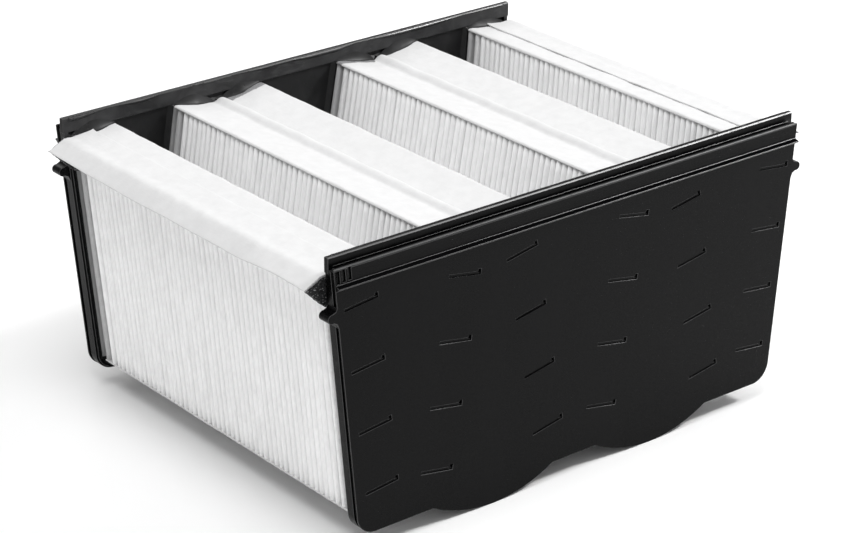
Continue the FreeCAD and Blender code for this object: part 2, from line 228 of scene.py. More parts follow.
def spaced(length, step):
    """Distances from 0 to length, a step apart, with a few more close to both ends for rounded edges."""
    near = np.array([0, 0.12, 0.3, 0.6]) * MM
    middle = np.linspace(1.2 * MM, length - 1.2 * MM, max(2, int(round(length / step))))
    return np.concatenate([near, middle, length - near[::-1]])


def distances(line):
    """Distance of each point of a line from its first one, along the line."""
    return np.r_[0, np.cumsum(np.linalg.norm(np.diff(line, axis=0), axis=1))]


def along(line, places):
    """Points of a line in the XZ plane at distances along it."""
    lengths = distances(line)
    return np.stack([np.interp(places, lengths, line[:, k]) for k in (0, 1)], 1)


def smoothed(line, reach):
    """Each point becomes the weighted mean of its neighbours up to reach points away, the nearer the heavier. The
    line loses that many points at both ends."""
    weights = np.hanning(2 * reach + 3)[1:-1]
    return np.stack([np.convolve(line[:, k], weights / weights.sum(), "valid") for k in (0, 1)], 1)


def soft_line(corners, softness, step=0.4 * MM):
    """Points a step apart on the line through the corners, smoothed over the softness, so that the corners turn
    into soft bends. Both ends stay where they are."""
    corners = np.asarray(corners, float)
    length = distances(corners)[-1]
    places = np.linspace(0, length, int(round(length / step)) + 1)
    line = along(corners, places)
    reach = max(1, int(round(softness / places[1])))
    before = 2 * line[0] - line[reach:0:-1]
    after = 2 * line[-1] - line[-2:-reach - 2:-1]
    return smoothed(np.concatenate([before, line, after]), reach)


def quarter_circle(distance, width):
    """Rises from 0 at distance 0 to 1 at the width on a quarter of a circle."""
    return np.sqrt(1 - (1 - np.clip(distance / width, 0, 1)) ** 2)


def stacked(x, y, z):
    """Grid of points from its coordinates, of which each may be the same along a direction."""
    return np.stack(np.broadcast_arrays(x, y, z), -1)


def grid_normals(grid):
    """Unit normals of a grid of points: the cross product of its two directions."""
    normal = np.cross(np.gradient(grid, axis=0), np.gradient(grid, axis=1))
    return normal / np.maximum(np.linalg.norm(normal, axis=-1, keepdims=True), 1e-12)


def sheet_shell(grid, thickness):
    """Closed shell of a sheet: the grid moved out along its normals by half the thickness to each side, and the
    two faces joined round the four edges. Gives its points and its faces of four corners."""
    half = grid_normals(grid) * (np.broadcast_to(thickness, grid.shape[:2]) / 2)[..., None]
    count = grid.shape[0] * grid.shape[1]
    index = np.arange(count).reshape(grid.shape[:2])
    cells = np.stack([index[:-1, :-1], index[1:, :-1], index[1:, 1:], index[:-1, 1:]], -1).reshape(-1, 4)
    loop = np.concatenate([index[:-1, 0], index[-1, :-1], index[:0:-1, -1], index[0, :0:-1]])
    after = np.roll(loop, -1)
    edges = np.stack([after, loop, loop + count, after + count], -1)
    points = np.concatenate([(grid + half).reshape(-1, 3), (grid - half).reshape(-1, 3)])
    return points, np.concatenate([cells, cells[:, ::-1] + count, edges])


def tube_shell(loops):
    """Closed shell through a row of closed loops, each a ring of points; the first and the last ring are closed
    over their middle point."""
    first = np.repeat(loops[:1].mean(1, keepdims=True), loops.shape[1], 1)
    last = np.repeat(loops[-1:].mean(1, keepdims=True), loops.shape[1], 1)
    rings = np.concatenate([first, loops, last])
    index = np.arange(rings.shape[0] * rings.shape[1]).reshape(rings.shape[:2])
    nxt = np.roll(index, -1, 1)
    faces = np.stack([index[:-1], nxt[:-1], nxt[1:], index[1:]], -1).reshape(-1, 4)
    return rings.reshape(-1, 3), faces


def several(shells):
    """Points and faces of several shells together."""
    starts = np.cumsum([0] + [len(points) for points, faces in shells[:-1]])
    return (np.concatenate([points for points, faces in shells]),
            np.concatenate([faces + start for (points, faces), start in zip(shells, starts)]))


def new_object(name, data):
    """Object in the scene, in the place of an earlier one of its name, so that an operator can be used again."""
    old = bpy.data.objects.get(name)
    if old is not None:
        bpy.data.objects.remove(old)
    thing = bpy.data.objects.new(name, data)
    bpy.context.scene.collection.objects.link(thing)
    return thing


def piece(name, points, faces, material, slot, merge=False):
    """New piece from points and faces of four corners, smooth, with its faces outwards."""
    if not np.isfinite(points).all():
        raise RuntimeError(f"{name} has a point that isn't finite")
    mesh = bpy.data.meshes.new(name)
    mesh.vertices.add(len(points))
    mesh.vertices.foreach_set("co", points.astype(np.float32).ravel())
    mesh.loops.add(faces.size)
    mesh.loops.foreach_set("vertex_index", faces.astype(np.int32).ravel())
    mesh.polygons.add(len(faces))
    mesh.polygons.foreach_set("loop_start", np.arange(0, faces.size, 4, dtype=np.int32))
    mesh.polygons.foreach_set("use_smooth", np.ones(len(faces), bool))
    mesh.update(calc_edges=True)
    if merge:
        tidy_mesh(mesh)
    if volume(mesh) < 0:
        mesh.flip_normals()
    return place(name, mesh, material, slot)


def place(name, mesh, material, slot):
    """Object of a finished mesh, on the filter's one body."""
    thing = new_object(name, mesh)
    mesh.materials.clear()
    mesh.materials.append(material)
    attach(thing, "root")
    return thing


def tidy_mesh(mesh):
    """Merges points that coincide, which closes poles and seams, and turns the faces outwards."""
    work = bmesh.new()
    work.from_mesh(mesh)
    bmesh.ops.remove_doubles(work, verts=work.verts, dist=1e-6)
    bmesh.ops.dissolve_degenerate(work, edges=work.edges, dist=1e-7)
    bmesh.ops.recalc_face_normals(work, faces=work.faces)
    work.to_mesh(mesh)
    work.free()


def volume(mesh):
    """Signed volume: a sixth of the sum of the triangles' triple products."""
    mesh.calc_loop_triangles()
    corners = np.empty(len(mesh.loop_triangles) * 3, np.int32)
    mesh.loop_triangles.foreach_get("vertices", corners)
    a, b, c = mesh_points(mesh)[corners.reshape(-1, 3)].transpose(1, 0, 2)
    return float(np.einsum("ij,ij->i", a, np.cross(b, c)).sum() / 6)


# ------------ materials

class Value:
    """A node's output on which maths can be written: each operator adds its Math node."""

    def __init__(self, finish, socket):
        self.finish, self.socket = finish, socket

    def maths(self, operation, *values):
        """Adds the Math node of one operation on values or numbers."""
        return self.finish.node("ShaderNodeMath", {"operation": operation}, dict(enumerate(values)))

    def __add__(self, other):
        return self.maths("ADD", self, other)

    def __sub__(self, other):
        return self.maths("SUBTRACT", self, other)

    def __rsub__(self, other):
        return self.maths("SUBTRACT", other, self)

    def __mul__(self, other):
        return self.maths("MULTIPLY", self, other)

    def __truediv__(self, other):
        return self.maths("DIVIDE", self, other)

    def __abs__(self):
        return self.maths("ABSOLUTE", self)

    __radd__, __rmul__ = __add__, __mul__


class Finish:
    """One material while it is made, on Object coordinates, with the colours as they are set now."""

    def __init__(self, name, fixed):
        old = bpy.data.materials.get(name)
        if old is not None:
            bpy.data.materials.remove(old)
        self.material = bpy.data.materials.new(name)
        self.material.use_nodes = True
        self.tree = self.material.node_tree
        self.tree.nodes.clear()
        output = self.tree.nodes.new("ShaderNodeOutputMaterial")
        self.shader = self.tree.nodes.new("ShaderNodeBsdfPrincipled")
        self.tree.links.new(self.shader.outputs[0], output.inputs["Surface"])
        for key, value in fixed.items():
            self.shader.inputs[key].default_value = value
        self.colours = bpy.context.scene.filter_colours
        self.place = self.node("ShaderNodeTexCoord", output="Object")

    def node(self, kind, settings=None, inputs=None, output=0):
        """Adds a node: its settings first, then its sockets' values or links."""
        node = self.tree.nodes.new(kind)
        for key, value in (settings or {}).items():
            setattr(node, key, value)
        for key, value in (inputs or {}).items():
            self.feed(node.inputs[key], value)
        return Value(self, node.outputs[output])

    def feed(self, socket, value):
        """Links a node's output to a socket, or sets the socket's own value."""
        if isinstance(value, Value):
            self.tree.links.new(value.socket, socket)
        else:
            socket.default_value = value

    def show(self, **inputs):
        """Feeds the shader what varies over the surface."""
        for key, value in inputs.items():
            self.feed(self.shader.inputs[key.replace("_", " ")], value)
        return self.material

    def stretched(self, scale=(1, 1, 1), turn=(0, 0, 0)):
        """Object coordinates, turned and scaled."""
        return self.node("ShaderNodeMapping", {}, {"Vector": self.place, "Rotation": turn, "Scale": scale})

    def noise(self, size, detail=3.0, roughness=0.5, vector=None, distortion=0.0):
        """Noise from 0 to 1 with features about size long."""
        return self.node("ShaderNodeTexNoise", {}, {
            "Vector": vector or self.place, "Scale": 1 / size, "Detail": detail,
            "Roughness": roughness, "Distortion": distortion})

    def cells(self, size):
        """Distance to the nearest of many scattered points."""
        return self.node("ShaderNodeTexVoronoi", {"feature": "F1"}, {
            "Vector": self.place, "Scale": 1 / size}, "Distance")

    def step(self, value, low, high):
        """0 below low, 1 above high, smooth between."""
        return self.node("ShaderNodeMapRange", {"interpolation_type": "SMOOTHSTEP"}, {
            "Value": value, "From Min": low, "From Max": high})

    def blend(self, share, first, second):
        """Colour from first to second by a share."""
        return self.node("ShaderNodeMix", {"data_type": "RGBA"}, {0: share, 6: first, 7: second}, 2)

    def shades(self, share, colour, low, high):
        """Blend of a colour scaled by low with the same one scaled by high."""
        return self.blend(share, scaled(colour, low), scaled(colour, high))

    def bump(self, height, depth, strength=1.0, normal=None):
        """Relief from a height of 0 to 1 that is depth deep."""
        inputs = {"Height": height, "Distance": depth, "Strength": strength}
        if normal is not None:
            inputs["Normal"] = normal
        return self.node("ShaderNodeBump", {}, inputs)

    def coordinate(self, axis):
        """One of the object coordinates."""
        return self.node("ShaderNodeSeparateXYZ", {}, {0: self.place}, axis)


def scaled(colour, share):
    """Colour made darker or lighter in Python."""
    return tuple(min(1.0, c * share) for c in colour[:3]) + (1.0,)


def moulded_plastic(name="moulded_black_plastic", specular=0.085):
    """Black satin plastic: faint flow marks down the wall, a fine sparked grain and a few dull handling marks.
    Without specular it shows no reflection at all, and such a copy stands as painted shade."""
    f = Finish(name, {"Specular IOR Level": specular, "IOR": 1.5 if specular else 1.01})
    flow = f.noise(30 * MM, 4, 0.6, f.stretched((1, 1, 0.18)))
    grain = f.noise(0.45 * MM, 3, 0.6)
    marks = f.step(f.noise(14 * MM, 5, 0.65, None, 0.6), 0.6, 0.72)
    shade = f.step(flow, 0.3, 0.7) * 0.6 + marks * 0.3
    satin = 0.28 + (flow - 0.5) * 0.12 + (grain - 0.5) * 0.16 + marks * 0.05
    relief = f.bump(flow, 0.25 * MM, 0.25)
    return f.show(Base_Color=f.shades(shade, f.colours.plastic, 0.85, 1.25),
                  Roughness=satin, Normal=f.bump(grain, 0.02 * MM, 0.5, relief))


def edge_with_painted_highlight(name="polished_plastic_edge", dull=0.27):
    """The same plastic where handling has polished its edges: glossier, with small nicks and duller stretches. Its
    colour, five times the plastic's, is partly handling wear and partly painted highlight.
    """
    f = Finish(name, {"Specular IOR Level": 0.55, "IOR": 1.5})
    wear = f.noise(12 * MM, 4, 0.6)
    nicks = f.step(f.noise(1.6 * MM, 3, 0.7), 0.58, 0.7)
    return f.show(Base_Color=f.shades(wear, f.colours.edge, 0.6, 1.6),
                  Roughness=dull + wear * 0.12 + nicks * 0.15, Normal=f.bump(nicks, 0.03 * MM, 0.4))


def resin_film_with_painted_light():
    """Plastic wall with a thin film of resin on it: cloudy, with paler wiped strokes. Its colour, far lighter than
    the plastic, is painted light that stands for the lit wall reflecting the white packs.
    """
    f = Finish("smeared_resin_film", {"Specular IOR Level": 0.2, "IOR": 1.5})
    cloud = f.noise(14 * MM, 4, 0.6, None, 0.8)
    stroke = f.step(f.noise(5 * MM, 3, 0.6, f.stretched((0.35, 1, 1), (0, 0.35, 0)), 1.6), 0.58, 0.72)
    relief = f.bump(cloud, 0.4 * MM, 0.3)
    return f.show(Base_Color=f.shades(f.step(cloud, 0.3, 0.7) * 0.6 + stroke * 0.4, f.colours.film_and_painted_light, 0.6, 1.7),
                  Roughness=0.42 + cloud * 0.14, Normal=f.bump(stroke, 0.15 * MM, 0.4, relief))


def cast_resin(name="cast_black_resin", dull=0.42, specular=0.3):
    """Black resin: it set with slow swells, small pits from bubbles and matt streaks."""
    f = Finish(name, {"Specular IOR Level": specular, "IOR": 1.5})
    swell = f.noise(9 * MM, 3, 0.55, None, 0.4)
    above_pits = f.step(f.cells(4.5 * MM), 0.05, 0.14)
    streak = f.step(f.noise(16 * MM, 5, 0.6), 0.48, 0.66)
    gloss = dull + streak * 0.16 + swell * 0.08
    relief = f.bump(swell, 0.5 * MM, 0.3)
    return f.show(Base_Color=f.shades(streak, f.colours.resin, 0.8, 1.8),
                  Roughness=gloss, Normal=f.bump(above_pits, 0.25 * MM, 0.5, relief))


def fibres(f, width, turns=(0.3, 1.25, 2.2)):
    """Crossing fibres: the sum of noises that are long in one direction each, from 0 to 1."""
    total = 0
    for turn in turns:
        total = f.step(f.noise(width, 2, 0.5, f.stretched((1, 0.09, 1), (0, 0, turn))), 0.52, 0.7) + total
    return total / len(turns)


def soaked_ends(f):
    """1 where resin has soaked in from the strip's ends: |y| past a wavering limit, which lies 5 mm inside them on
    the centre packs' strips and hardly 1 mm on the others."""
    centre = 1 - f.step(abs(f.coordinate("X")), 53 * MM, 57 * MM)
    limit = (centre * (4.4 * MM) + 0.7 * MM) * (0.6 + f.noise(14 * MM, 3, 0.6) * 0.8)
    inside = STRIP_END - abs(f.coordinate("Y"))
    return 1 - f.step(inside - limit + (f.noise(1.1 * MM, 3, 0.7) - 0.5) * (2.4 * MM), -0.3 * MM, 0.7 * MM)


def white_fleece():
    """White non-woven fleece: cloudy density, crossing fibres, and grey ends that the resin has soaked."""
    f = Finish("white_fleece", {"Specular IOR Level": 0.2, "Sheen Weight": 0.12, "Sheen Roughness": 0.5})
    cloud = f.noise(7 * MM, 4, 0.6)
    thread = fibres(f, 0.5 * MM)
    fuzz = f.noise(0.35 * MM, 3, 0.7)
    soak_and_shade = soaked_ends(f)
    dry = f.shades(f.step(cloud, 0.25, 0.75), f.colours.fleece, 0.965, 1.03)
    dry = f.blend(thread * 0.35, dry, scaled(f.colours.fleece, 1.09))
    wet = f.shades(f.step(fuzz, 0.3, 0.7), f.colours.soak_and_shade, 0.3, 1.7)
    relief = f.bump(cloud, 0.35 * MM, 0.3)
    relief = f.bump(thread, 0.12 * MM, 0.45, relief)
    return f.show(Base_Color=f.blend(soak_and_shade * 0.95, dry, wet), Roughness=0.92 - soak_and_shade * 0.4,
                  Normal=f.bump(fuzz, 0.06 * MM, 0.4, relief))


def filter_paper():
    """White filter paper: mottled pulp, fine fibres, darker stripes that run with the folds at random places, and
    grey towards both plates, partly resin soaked in and partly painted shade for the plate walls' shadow.
    """
    f = Finish("pleated_filter_paper", {"Specular IOR Level": 0.25, "Sheen Weight": 0.05})
    mottle = f.noise(5 * MM, 5, 0.62, f.stretched((1, 1, 0.45)))
    pulp = f.noise(0.5 * MM, 4, 0.7)
    thread = fibres(f, 0.4 * MM, (0.0, 1.57))
    column = f.noise(3.4 * MM, 2, 0.5, f.stretched((0.02, 1, 0.03)))
    # Painted shade and resin soak: the paper greys towards both plates, in the walls' shadow.
    near_end = abs(f.coordinate("Y")) + (f.noise(3 * MM, 3, 0.6) - 0.5) * (3 * MM)
    soak_and_shade = f.step(near_end, 110 * MM, 117 * MM)
    dry = f.shades(f.step(mottle, 0.25, 0.75), f.colours.paper, 0.95, 1.04)
    dry = f.blend(f.step(column, 0.5, 0.85) * 0.5, dry, scaled(f.colours.paper, 0.86))
    dry = f.blend(thread * 0.3, dry, scaled(f.colours.paper, 1.08))
    relief = f.bump(mottle, 0.3 * MM, 0.3)
    return f.show(Base_Color=f.blend(soak_and_shade * 0.64, dry, f.colours.soak_and_shade), Roughness=0.93 - soak_and_shade * 0.2,
                  Normal=f.bump(pulp, 0.07 * MM, 0.4, relief))


def open_foam():
    """Black open-cell foam: dark cells, and pale specks on the cells' raised middles that are painted glints."""
    f = Finish("black_open_foam", {"Specular IOR Level": 0.35})
    cell = f.cells(0.9 * MM)
    # Painted glints: pale specks where the cells rise.
    painted_glint = f.step(f.noise(1.3 * MM, 3, 0.7), 0.54, 0.62) * (1 - f.step(cell, 0.25, 0.6))
    shade = f.shades(f.step(cell, 0.2, 0.8), f.colours.foam, 0.5, 2.0)
    return f.show(Base_Color=f.blend(painted_glint, shade, f.colours.foam_glint), Roughness=0.85 - painted_glint * 0.3,
                  Normal=f.bump(1 - cell, 0.5 * MM, 0.9))


def pale_floor():
    """Plain pale studio floor with the slightest cloudiness."""
    f = Finish("pale_studio_floor", {"Specular IOR Level": 0.1})
    cloud = f.noise(0.8, 3, 0.5)
    return f.show(Base_Color=f.shades(cloud, bpy.context.scene.filter_stage.floor, 0.995, 1.005),
                  Roughness=0.85 + (cloud - 0.5) * 0.1, Normal=f.bump(f.noise(4 * MM, 2, 0.5), 0.02 * MM, 0.2))


# ------------ the pieces

def facing_up(edge):
    """True for a hollow edge that opens upwards: the normals of its two faces lean up together."""
    return sum(face.normal.z for face in edge.link_faces) > 0.4


def is_chamfer(face):
    """True for the slanting face along the rim's top edge, which stays whole."""
    return face.calc_center_median().z > RIM_TOP - 1 * MM and 0.5 < face.normal.z < 0.9


def finish_of(face):
    """Material of a plate's face: polished for the rim's chamfer, satin for the round edge at the top, which leans
    between up and outwards, resin film for the rim's inner side, the copy without reflection for the lip's upper
    side, plain elsewhere. The polished and satin colours are partly painted highlight, the film's colour is painted
    light, and the copy without reflection is painted shade."""
    middle, normal = face.calc_center_median(), face.normal
    # Painted highlight in part: the rim's chamfer and the round top edge get the edges' lighter colour.
    if is_chamfer(face):
        return POLISH_AND_HIGHLIGHT
    if middle.z > SATIN_HEIGHT and normal.z > 0.15 and 0.15 < abs(normal.y) < 0.99:
        return SATIN_AND_HIGHLIGHT
    top = max(vert.co.z for vert in face.verts)
    # Painted light: the rim's inner side gets the resin film's far lighter colour.
    if top > RIM_TOP - 2 * MM and abs(abs(middle.y) - RIM_INNER) < 0.3 * MM and normal.y * middle.y < 0:
        return FILM_WITH_PAINTED_LIGHT
    # Painted shade: the lip's upper side gets the copy of the plastic without reflection.
    if abs(middle.y) > LIP_INNER and middle.z > LIP_HEIGHT and normal.z > 0.8:
        return SHADED_COPY
    return PLAIN


def add_line(work, side, away, height, radius, reach):
    """Fine moulded line on a plate: a polished bar of eight flat sides carried along X, half buried in the
    moulding. Its lighter edge colour is partly painted highlight."""
    turn = (np.arange(8) + 0.5) * np.pi / 4
    rings = stacked(np.array([[-reach], [reach]]), side * (away + radius * np.cos(turn)),
                    height + radius * np.sin(turn))
    first, last = [[work.verts.new(point) for point in ring] for ring in rings]
    faces = [work.faces.new([first[k - 1], first[k], last[k], last[k - 1]]) for k in range(len(turn))]
    faces += [work.faces.new(first), work.faces.new(last)]
    bmesh.ops.recalc_face_normals(work, faces=faces)
    for face in faces:
        face.smooth, face.material_index = False, POLISH_AND_HIGHLIGHT


def dress_plate(end, materials):
    """Copy of a plate's CAD mesh, merged to whole faces, with its moulded edges rounded by a bevel."""
    node = f"{end}_end_plate"
    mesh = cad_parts[node].data.copy()
    mesh.name = node + "_moulding"
    work = bmesh.new()
    work.from_mesh(mesh)
    bmesh.ops.remove_doubles(work, verts=work.verts, dist=2e-6)
    bmesh.ops.dissolve_limit(work, angle_limit=math.radians(0.6), verts=work.verts, edges=work.edges)
    weight = work.edges.layers.float.new("bevel_weight_edge")
    for edge in work.edges:
        corner = edge.is_manifold and edge.calc_face_angle() > math.radians(30)
        foot = corner and not edge.is_convex and edge.calc_length() > LONG_EDGE and facing_up(edge)
        whole = any(is_chamfer(face) for face in edge.link_faces)
        edge[weight] = 1.0 if corner and (edge.is_convex or foot) and not whole else 0.0
        edge.smooth = not corner or edge[weight] > 0
    for face in work.faces:
        face.smooth = face.normal.z < 0.8 or face.calc_area() < BROAD_FACE
        face.material_index = finish_of(face)
    for line in LINES:
        add_line(work, ENDS[end], *line)
    finishes = [face.material_index for face in work.faces]
    work.to_mesh(mesh)
    work.free()
    mesh.normals_split_custom_set([(0, 0, 0)] * len(mesh.loops))
    plate = place(mesh.name, mesh, materials[PLAIN], "black_plastic")
    for material in materials[1:]:
        mesh.materials.append(material)
    mesh.polygons.foreach_set("material_index", finishes)
    bevel = plate.modifiers.new("moulded_edges", "BEVEL")
    bevel.width = sizes().edge_round
    bevel.segments = 2
    bevel.limit_method = "WEIGHT"
    bevel.use_clamp_overlap = False
    # The bevels get the edges' lighter colour, partly painted highlight.
    bevel.material = POLISH_AND_HIGHLIGHT
    level = plate.modifiers.new("level_faces", "WEIGHTED_NORMAL")
    level.mode = "FACE_AREA"
    level.weight = 90
    level.keep_sharp = True
    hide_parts(node)


def pleat_grid(place, rng):
    """Middle surface of one folded sheet. Along the sheet, fold k of n is half a circle of the fold radius whose
    middle lies at its even place plus a small random shift, on the pack's outer and inner face by turns; straight
    legs join the folds. The first three pleats at each end stand wider. Up the pack, each fold strays by its own
    slow sine waves. Gives points by (place along the sheet, height)."""
    folds = 2 * sizes().pleats + 1
    rows = np.linspace(0, 1, 22)
    radius, half = sizes().fold_radius, sizes().paper / 2
    wide = np.ones(folds - 1)
    wide[:len(WIDE_LEGS)], wide[-len(WIDE_LEGS):] = WIDE_LEGS, WIDE_LEGS[::-1]
    even = np.r_[0, np.cumsum(wide)] / wide.sum()
    start, end = place.low_y + radius + half, place.high_y - radius - half
    shift = rng.normal(0, 1, folds).clip(-1.6, 1.6) * sizes().pleat_wander
    shift[[0, -1]] = 0
    fold = np.arange(folds)[:, None] * 1.0
    slow = waves(rng, fold * 0.9, rows[None, :] * 2.2, 2.6) * 0.45
    slow = slow + waves(rng, fold * 0.12, rows[None, :], 1.3) * 0.8
    middle_y = (start + (end - start) * even + shift)[:, None] + slow * sizes().pleat_wander
    middle_y = middle_y.clip(start, end)
    inset = np.abs(rng.normal(0, 0.1, folds))[:, None] * MM
    inset = inset + np.abs(waves(rng, fold, rows[None, :] * 1.5, 2.1)) * 0.08 * MM
    bulge = radius * (1 + 0.07 * rng.normal(0, 1, folds).clip(-1.5, 1.5))[:, None]
    bulge = bulge * (1 + 0.05 * waves(rng, fold, rows[None, :] * 3, 1.9))
    face = np.where(np.arange(folds) % 2 == 0, 1.0, -1.0)[:, None]
    turn = np.radians([-90, -64, -38, -13, 13, 38, 64, 90])[None, :, None]
    y = middle_y[:, None, :] + bulge[:, None, :] * np.sin(turn)
    depth = place.depth / 2 - half - inset - bulge
    through = face[:, None, :] * (depth[:, None, :] + bulge[:, None, :] * np.cos(turn))
    y, through = y.reshape(-1, len(rows)), through.reshape(-1, len(rows))
    height = ((rows - 0.5) * place.height)[None, :, None]
    flat = place.middle + through[..., None] * place.across + height * place.up
    return np.stack([flat[..., 0], y, flat[..., 1]], -1)


def make_pack(name, place, material):
    """One pleated pack: the closed shell of its folded sheet."""
    shell = sheet_shell(pleat_grid(place, seeded(name)), sizes().paper)
    pack = piece(name + "_folded_paper", *shell, material, "filter_paper")
    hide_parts(name + "_pleat_pack")


def fleece_grid(line, end, rng, fine=1.1 * MM):
    """Middle surface of a fleece strip: a line in the XZ plane carried along Y, with a wavering cut at both ends
    and slow waves square to the strip. Gives the grid, the distance of each point from the nearest edge, and the
    distances along both directions."""
    width = distances(line)[-1]
    u = spaced(width, fine)
    v = spaced(2 * end, 2.2 * MM)
    flat = along(line, u)
    cut = waves(rng, u, 0 * u, 9 * MM) * 0.28 * MM + rng.normal(0, 0.09 * MM, len(u))
    near_end = np.clip(1 - np.minimum(v, v[::-1]) / (4 * MM), 0, 1)
    y = (v - end)[None, :] - np.sign(v - end)[None, :] * np.abs(cut)[:, None] * near_end[None, :]
    grid = stacked(flat[:, :1], y, flat[:, 1:])
    relief = waves(rng, u[:, None], v[None, :], 34 * MM) * 0.7
    relief += waves(rng, u[:, None], v[None, :], 9 * MM) * 0.3
    grid += grid_normals(grid) * (relief * sizes().fleece_relief)[..., None]
    edge = np.minimum(np.minimum(u, width - u)[:, None], np.minimum(v, v[::-1])[None, :])
    return grid, edge, u, v


def fleece_thickness(edge):
    """Full thickness inside, falling to a third at the very edge on a quarter circle 0.6 mm wide."""
    return sizes().fleece * (0.34 + 0.66 * quarter_circle(edge, 0.6 * MM))


def loose_fibres(grid, rng):
    """Closed shells of fibres that stick out of the cut at both ends of a strip. Each leaves a random point of the
    cut outwards and a little up, bends on a parabola, and is a thin tube that tapers to a third."""
    t = np.linspace(0, 1, 9)[:, None]
    ring = np.linspace(0, 2 * np.pi, 6)[:-1]
    shells = []
    for k in range(FIBRES):
        side = -1 if k % 2 else 1
        foot = grid[rng.integers(2, grid.shape[0] - 2), -2 if side > 0 else 1]
        reach = FIBRE_LENGTH * rng.uniform(0.4, 1)
        way = np.array([rng.normal(0, 0.5), side * rng.uniform(0.5, 1), rng.uniform(0, 0.5)])
        bend = rng.normal(0, 0.45, 3) * reach
        path = foot + way / np.linalg.norm(way) * reach * t + bend * t ** 2
        radius = FIBRE_RADIUS * (1 - 0.66 * t)[:, :, None]
        around = np.stack([np.cos(ring), 0.3 * np.sin(ring), np.sin(ring)], -1)[None]
        shells.append(tube_shell(path[:, None] + radius * around))
    return shells


def make_fleece(node, grid, edge, material):
    """Piece of a fleece strip, with a few loose fibres at its cuts."""
    name = node + "_fleece"
    shells = [sheet_shell(grid, fleece_thickness(edge))] + loose_fibres(grid, seeded(name + "fibres"))
    strip = piece(name, *several(shells), material, "white_fleece")
    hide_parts(node)


def turned_down(place, face):
    """End of a strip that is turned down over the pleats' edge on one side of a pack."""
    return place.corner(1, face) + place.across * face * TURN_OUT - place.up * TURN_DOWN


def make_edge_band(hand, material):
    """Band over the top of an outer pack: straight across, its inner edge turned down over the pleats."""
    place = PACKS[f"{hand}_outer"]
    lift = place.up * sizes().fleece / 2
    inner, outer = place.corner(1, -1) + lift, place.corner(1, 1) + lift
    line = soft_line([turned_down(place, -1), inner - place.across * TURN_OUT, outer], 0.8 * MM, 0.25 * MM)
    grid, edge = fleece_grid(line, STRIP_END, seeded(hand + "band"))[:2]
    make_fleece(f"{hand}_edge_band", grid, edge, material)


def past_edge(edge_x, bend_z, place, step):
    """Point of a skirt's or pad's section that lies a step in millimetres, out and up, from an edge and a bend."""
    return np.array([edge_x, bend_z]) + np.array([place.side * step[0], step[1]]) * MM


def make_skirt(hand, material):
    """Sealing skirt: it lies on the band, passes its outer edge, bends softly and falls to the free edge. The free
    edge sags in the middle by a parabola and wavers slowly; a corner of the glued edge lifts at the far end."""
    place = PACKS[f"{hand}_outer"]
    edge_point = place.corner(1, 1) + place.up * sizes().fleece * 1.5
    start = edge_point - place.across * SKIRT_GLUED * MM
    bend = past_edge(*edge_point, place, SKIRT_BEND)
    free = past_edge(edge_point[0], bend[1], place, SKIRT_FREE)
    line = soft_line([start, edge_point, bend, free], 3.4 * MM)
    rng = seeded(hand + "skirt")
    grid, edge, u, v = fleece_grid(line, STRIP_END, rng)
    hinge = (SKIRT_GLUED + 1) * MM
    loose = np.clip((u - hinge) / (u[-1] - hinge), 0, 1)[:, None] ** 1.5
    middle = (1 - ((v - STRIP_END) / STRIP_END) ** 2)[None, :]
    waver = waves(rng, v, 0 * v, 70 * MM)[None, :] * 0.35 * MM
    grid[..., 2] -= loose * (middle * sizes().skirt_sag + waver)
    lifted = np.exp(-u / (3 * MM))[:, None] * np.exp(-(v[-1] - v) / (4 * MM))[None, :]
    grid[..., 2] += lifted * MM
    make_fleece(f"{hand}_sealing_skirt", grid, edge, material)


def make_ridge_strip(hand, material):
    """Strip over an inner and a centre pack. Over the gap it is rolled up: it rises on a squared sine from the left
    and falls on a quarter of an ellipse to the right, and a quarter circle closes it at both ends."""
    inner, centre = PACKS[f"{hand}_inner"], PACKS[f"{hand}_centre"]
    corners = [place.corner(1, face) + place.up * sizes().fleece / 2
               for place in (inner, centre) for face in (1, -1)]
    first, last = corners[0] + inner.across * TURN_OUT, corners[3] - centre.across * TURN_OUT
    line = soft_line([turned_down(inner, 1), first, corners[1], corners[2], last, turned_down(centre, -1)],
                     1.0 * MM, 0.25 * MM)
    rng = seeded(hand + "ridge")
    grid, edge, u, v = fleece_grid(line, STRIP_END, rng, 0.55 * MM)
    ridge = (corners[1] + corners[2]) / 2
    off = (grid[:, :1, 0] - ridge[0]) / (sizes().hump_width / 2) + 0.06 * waves(rng, v, 0 * v, 60 * MM)[None, :]
    climb = np.sin(np.clip((off + 1) / 1.35, 0, 1) * np.pi / 2) ** 2
    fall = np.sqrt(1 - np.clip((off - 0.35) / 0.5, 0, 1) ** 2)
    close = quarter_circle(np.minimum(v, v[::-1]), 2.2 * MM)[None, :]
    grid[..., 2] += sizes().hump_rise * (climb * fall) * (0.12 + 0.88 * close)
    make_fleece(f"{hand}_ridge_strip", grid, edge, material)


def make_tip_strip(name, left, right, material):
    """Strip under two packs that meet at the bottom, bent softly between them."""
    corners = []
    for place in (PACKS[left], PACKS[right]):
        pair = sorted((place.corner(0, -1), place.corner(0, 1)), key=lambda p: p[0])
        corners += [p - place.up * sizes().fleece / 2 for p in pair]
    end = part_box(name)[1].y
    grid, edge = fleece_grid(soft_line(corners, 2.5 * MM), end, seeded(name))[:2]
    make_fleece(name, grid, edge, material)


